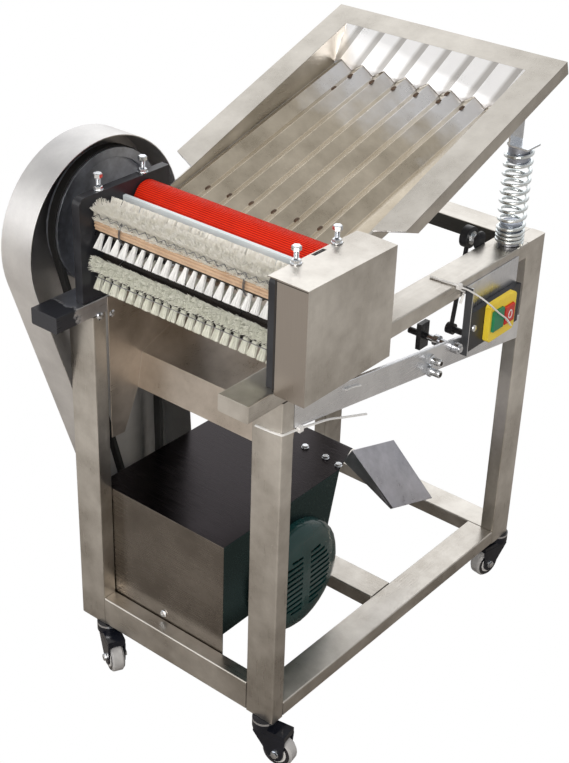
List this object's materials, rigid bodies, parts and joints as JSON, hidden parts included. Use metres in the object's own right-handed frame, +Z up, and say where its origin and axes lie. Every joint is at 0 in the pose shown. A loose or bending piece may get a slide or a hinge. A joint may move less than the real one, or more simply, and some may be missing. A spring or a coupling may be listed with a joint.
{
  "type": "pea sheller machine",
  "caption": "Pea sheller on a wheeled square-tube frame: sloping channelled feed tray on springs, red rubber roller, brush rollers, belt drive, motor cover and pea chute.",
  "frame": {"origin": "centre of the whole machine's bounding box at floor level, under the wheels", "axes": "+Z up; -Y towards the roller end where the pods leave; +X towards the side with the gear cover and the switch"},
  "size_m": [0.4945, 0.702, 0.909],
  "materials": {
    "steel": "brushed",
    "zinc": "zinc plated",
    "black_paint": "gloss black",
    "teal_paint": "gloss dark teal",
    "black_plastic": "matte",
    "pale_plastic": "matte",
    "red_rubber": "satin",
    "black_rubber": "matte",
    "bristle": "bristle",
    "yellow_plastic": "satin",
    "green_plastic": "satin",
    "red_plastic": "satin",
    "wheel_plastic": "satin",
    "dark_steel": "machined"
  },
  "bodies": {
    "frame": {"front_left_post": "steel", "front_right_post": "steel", "rear_left_post": "steel", "rear_right_post": "steel", "bottom_front_rail": "steel", "bottom_rear_rail": "steel", "bottom_left_rail": "steel", "bottom_right_rail": "steel", "motor_cross_rail": "steel", "left_top_rail": "steel", "right_top_rail": "steel", "rear_top_rail": "steel", "right_middle_rail": "steel", "gear_cover": "steel", "belt_guard": "steel", "motor_plate": "steel", "motor_cover": "steel", "outlet_hood": "steel", "pea_chute": "steel", "switch_bracket": "steel", "left_bearing_plate": "black_paint", "right_bearing_plate": "black_paint", "motor_body": "teal_paint", "fan_cowl": "teal_paint", "tie_link": "zinc", "adjuster_rod": "zinc", "drive_belt": "black_rubber", "scraper_strip": "pale_plastic", "switch_box": "black_plastic", "switch_face": "yellow_plastic"},
    "nip_roller_set": {"nip_roller": "dark_steel", "nip_roller_gear": "dark_steel", "head_pulley": "dark_steel"},
    "rubber_roller_set": {"rubber_roller_sleeve": "red_rubber", "rubber_roller_shaft": "dark_steel", "rubber_roller_gear": "dark_steel"},
    "idler": {"idler_gear": "dark_steel"},
    "lower_brush_set": {"lower_brush_roller": "bristle", "lower_brush_gear": "dark_steel"},
    "upper_brush_set": {"upper_brush_roller": "bristle", "upper_brush_gear": "dark_steel"},
    "motor_rotor": {"motor_shaft": "dark_steel", "motor_pulley": "dark_steel", "cooling_fan": "black_plastic"},
    "feed_tray": {"feed_tray_rim": "steel", "channel_sheet": "steel", "right_spring_bracket": "steel", "left_spring_bracket": "steel", "right_spring": "zinc", "left_spring": "zinc"},
    "start_button_body": {"start_button": "green_plastic"},
    "stop_button_body": {"stop_button": "red_plastic"},
    "front_left_swivel": {"front_left_caster_fork": "black_plastic"},
    "front_left_roll": {"front_left_caster_wheel": "wheel_plastic"},
    "front_right_swivel": {"front_right_caster_fork": "black_plastic"},
    "front_right_roll": {"front_right_caster_wheel": "wheel_plastic"},
    "rear_left_swivel": {"rear_left_caster_fork": "black_plastic"},
    "rear_left_roll": {"rear_left_caster_wheel": "wheel_plastic"},
    "rear_right_swivel": {"rear_right_caster_fork": "black_plastic"},
    "rear_right_roll": {"rear_right_caster_wheel": "wheel_plastic"}
  },
  "joints": [
    {"name": "nip_roller_spin", "type": "hinge", "parent": "frame", "child": "nip_roller_set", "pos_m": [0.0185, -0.177, 0.705], "axis": [1, 0, 0], "continuous": true},
    {"name": "rubber_roller_spin", "type": "hinge", "parent": "frame", "child": "rubber_roller_set", "pos_m": [0.0185, -0.177, 0.756], "axis": [1, 0, 0], "continuous": true},
    {"name": "idler_spin", "type": "hinge", "parent": "frame", "child": "idler", "pos_m": [0.2075, -0.21744, 0.70719], "axis": [1, 0, 0], "continuous": true},
    {"name": "lower_brush_spin", "type": "hinge", "parent": "frame", "child": "lower_brush_set", "pos_m": [0.0185, -0.257, 0.68], "axis": [1, 0, 0], "continuous": true},
    {"name": "upper_brush_spin", "type": "hinge", "parent": "frame", "child": "upper_brush_set", "pos_m": [0.0185, -0.257, 0.746], "axis": [1, 0, 0], "continuous": true},
    {"name": "motor_spin", "type": "hinge", "parent": "frame", "child": "motor_rotor", "pos_m": [-0.0515, -0.105, 0.185], "axis": [1, 0, 0], "continuous": true},
    {"name": "tray_shake", "type": "slide", "parent": "frame", "child": "feed_tray", "axis": [0, 0, 1], "range_m": [-0.004, 0.004], "stiffness_N_per_m": 8000, "deforming": ["right_spring", "left_spring"]},
    {"name": "start_button_press", "type": "slide", "parent": "frame", "child": "start_button_body", "axis": [-1, 0, 0], "range_m": [0, 0.003], "stiffness_N_per_m": 600, "springref_m": -0.0005},
    {"name": "stop_button_press", "type": "slide", "parent": "frame", "child": "stop_button_body", "axis": [-1, 0, 0], "range_m": [0, 0.003], "stiffness_N_per_m": 600, "springref_m": -0.0005},
    {"name": "front_left_caster_swivel", "type": "hinge", "parent": "frame", "child": "front_left_swivel", "pos_m": [-0.1425, -0.2735, 0.059], "axis": [0, 0, 1], "continuous": true},
    {"name": "front_left_caster_roll", "type": "hinge", "parent": "front_left_swivel", "child": "front_left_roll", "pos_m": [-0.11866, -0.28618, 0.025], "axis": [0.4695, 0.8829, 0], "continuous": true},
    {"name": "front_right_caster_swivel", "type": "hinge", "parent": "frame", "child": "front_right_swivel", "pos_m": [0.178, -0.277, 0.059], "axis": [0, 0, 1], "continuous": true},
    {"name": "front_right_caster_roll", "type": "hinge", "parent": "front_right_swivel", "child": "front_right_roll", "pos_m": [0.20467, -0.27278, 0.025], "axis": [-0.1564, 0.9877, 0], "continuous": true},
    {"name": "rear_left_caster_swivel", "type": "hinge", "parent": "frame", "child": "rear_left_swivel", "pos_m": [-0.1685, 0.325, 0.059], "axis": [0, 0, 1], "continuous": true},
    {"name": "rear_left_caster_roll", "type": "hinge", "parent": "rear_left_swivel", "child": "rear_left_roll", "pos_m": [-0.1955, 0.325, 0.025], "axis": [0, -1, 0], "continuous": true},
    {"name": "rear_right_caster_swivel", "type": "hinge", "parent": "frame", "child": "rear_right_swivel", "pos_m": [0.1855, 0.333, 0.059], "axis": [0, 0, 1], "continuous": true},
    {"name": "rear_right_caster_roll", "type": "hinge", "parent": "rear_right_swivel", "child": "rear_right_roll", "pos_m": [0.18081, 0.30641, 0.025], "axis": [0.9848, -0.1736, 0], "continuous": true}
  ],
  "couplings": [
    {"joint": "rubber_roller_spin", "follows": "nip_roller_spin", "ratio": -1},
    {"joint": "idler_spin", "follows": "nip_roller_spin", "ratio": -1.7},
    {"joint": "lower_brush_spin", "follows": "nip_roller_spin", "ratio": 0.77273},
    {"joint": "upper_brush_spin", "follows": "nip_roller_spin", "ratio": -0.77273},
    {"joint": "motor_spin", "follows": "nip_roller_spin", "ratio": 2.9817}
  ]
}
